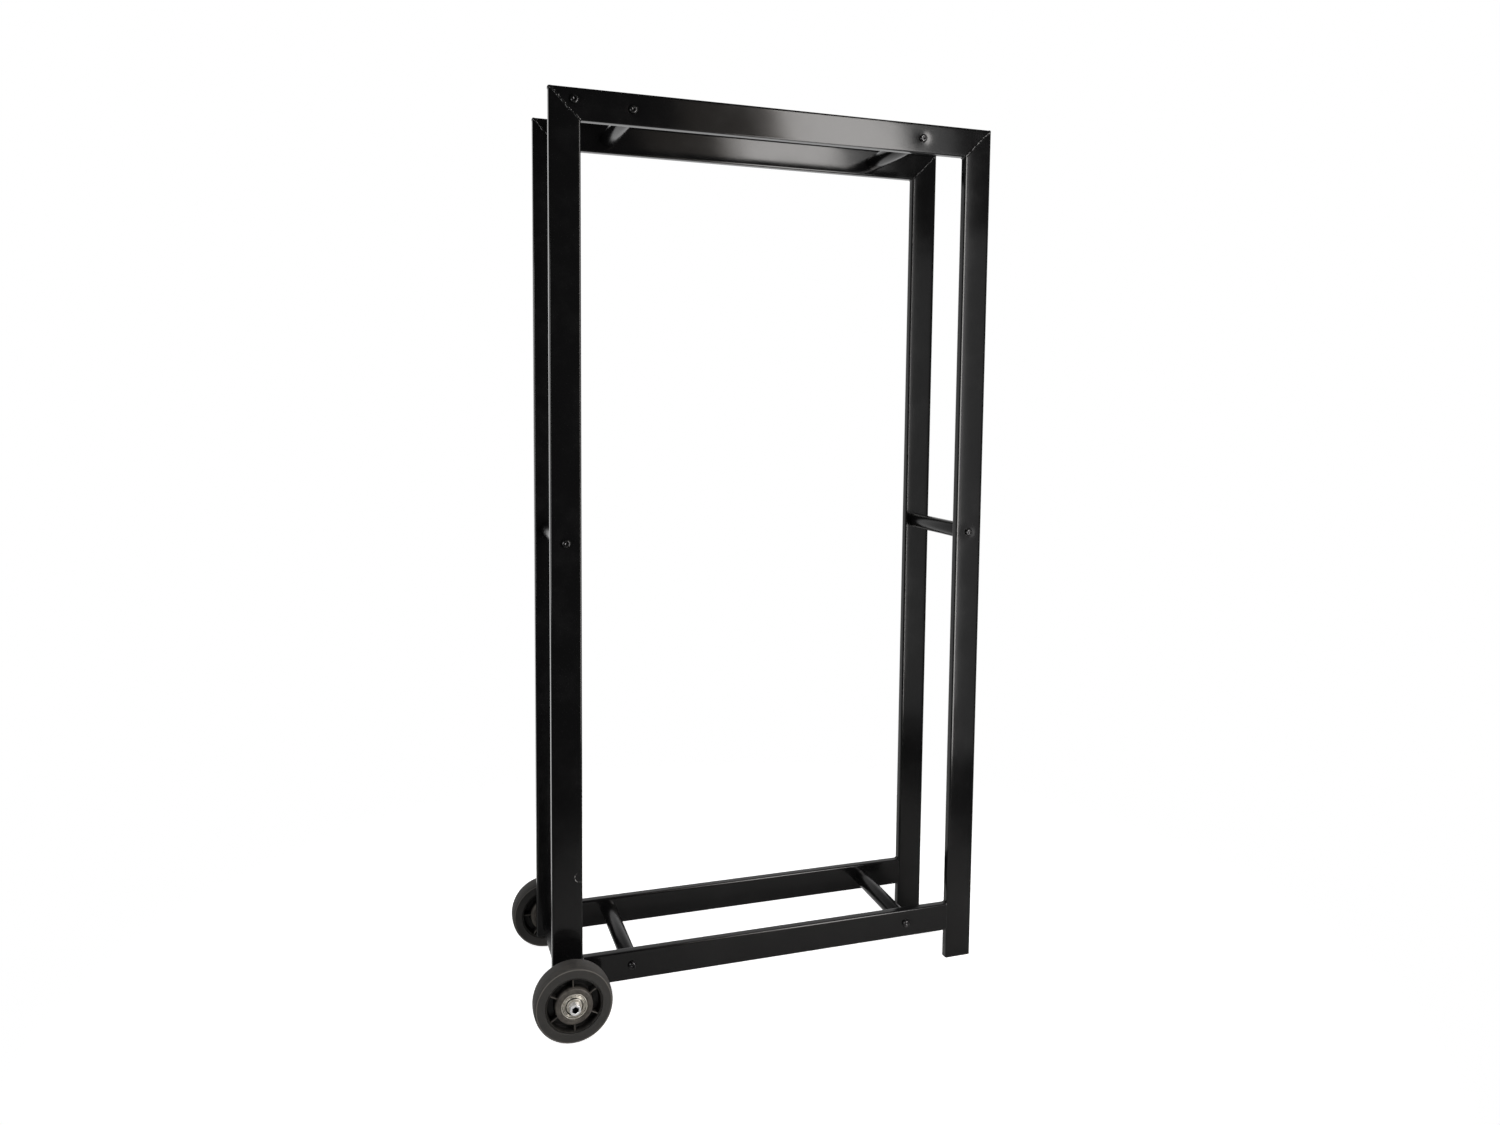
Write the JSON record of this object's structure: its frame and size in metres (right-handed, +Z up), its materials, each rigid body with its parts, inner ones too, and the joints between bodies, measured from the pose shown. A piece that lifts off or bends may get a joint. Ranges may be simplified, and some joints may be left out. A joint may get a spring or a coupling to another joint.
{
  "type": "background support",
  "caption": "Tall wheeled stand of paired rectangular tube frames held apart by round spacer bars, with wheels at one end and plain feet at the other.",
  "frame": {"origin": "on the floor at the middle of the bounding box", "axes": "+X across the frames from the wheels to the feet, +Y through the depth from the front frame to the rear frame, +Z up"},
  "size_m": [0.8134, 0.4016, 1.516],
  "materials": {
    "frame_paint": "semi-gloss black paint on welded steel tube",
    "spacer_paint": "semi-gloss black paint on round steel tube",
    "bolt_black": "black oxide on steel button-head bolts",
    "bright_steel": "bright zinc-plated and ground steel",
    "tyre_rubber": "matt dark grey rubber",
    "core_plastic": "moulded dark plastic",
    "plug_plastic": "moulded black plastic"
  },
  "bodies": {
    "frame": {"front_left_post": "frame_paint", "front_right_post": "frame_paint", "front_top_rail": "frame_paint", "front_bottom_rail": "frame_paint", "rear_left_post": "frame_paint", "rear_right_post": "frame_paint", "rear_top_rail": "frame_paint", "rear_bottom_rail": "frame_paint", "front_right_foot": "plug_plastic", "rear_right_foot": "plug_plastic", "front_left_end_plug": "plug_plastic", "rear_left_end_plug": "plug_plastic", "corner_bar": "spacer_paint", "top_left_spacer": "spacer_paint", "top_right_spacer": "spacer_paint", "middle_left_spacer": "spacer_paint", "middle_right_spacer": "spacer_paint", "bottom_left_spacer": "spacer_paint", "bottom_right_spacer": "spacer_paint", "axle_tube": "spacer_paint", "front_corner_bolt": "bolt_black", "front_top_left_bolt": "bolt_black", "front_top_right_bolt": "bolt_black", "front_middle_left_bolt": "bolt_black", "front_middle_right_bolt": "bolt_black", "front_bottom_left_bolt": "bolt_black", "front_bottom_right_bolt": "bolt_black", "rear_corner_bolt": "bolt_black", "rear_top_left_bolt": "bolt_black", "rear_top_right_bolt": "bolt_black", "rear_middle_left_bolt": "bolt_black", "rear_middle_right_bolt": "bolt_black", "rear_bottom_left_bolt": "bolt_black", "rear_bottom_right_bolt": "bolt_black", "front_inboard_bearing_inner_ring": "bright_steel", "front_outboard_bearing_inner_ring": "bright_steel", "front_bearing_sleeve": "bright_steel", "front_standoff_sleeve": "spacer_paint", "front_axle_screw": "bright_steel", "rear_inboard_bearing_inner_ring": "bright_steel", "rear_outboard_bearing_inner_ring": "bright_steel", "rear_bearing_sleeve": "bright_steel", "rear_standoff_sleeve": "spacer_paint", "rear_axle_screw": "bright_steel"},
    "front_wheel": {"front_tyre": "tyre_rubber", "front_wheel_core": "core_plastic", "front_inboard_bearing_outer_ring": "bright_steel", "front_outboard_bearing_outer_ring": "bright_steel"},
    "rear_wheel": {"rear_tyre": "tyre_rubber", "rear_wheel_core": "core_plastic", "rear_inboard_bearing_outer_ring": "bright_steel", "rear_outboard_bearing_outer_ring": "bright_steel"}
  },
  "joints": [
    {"name": "front_wheel_spin", "type": "hinge", "parent": "frame", "child": "front_wheel", "pos_m": [-0.34325, -0.16975, 0.0635], "axis": [0, 1, 0], "continuous": true},
    {"name": "rear_wheel_spin", "type": "hinge", "parent": "frame", "child": "rear_wheel", "pos_m": [-0.34325, 0.16975, 0.0635], "axis": [0, 1, 0], "continuous": true}
  ]
}
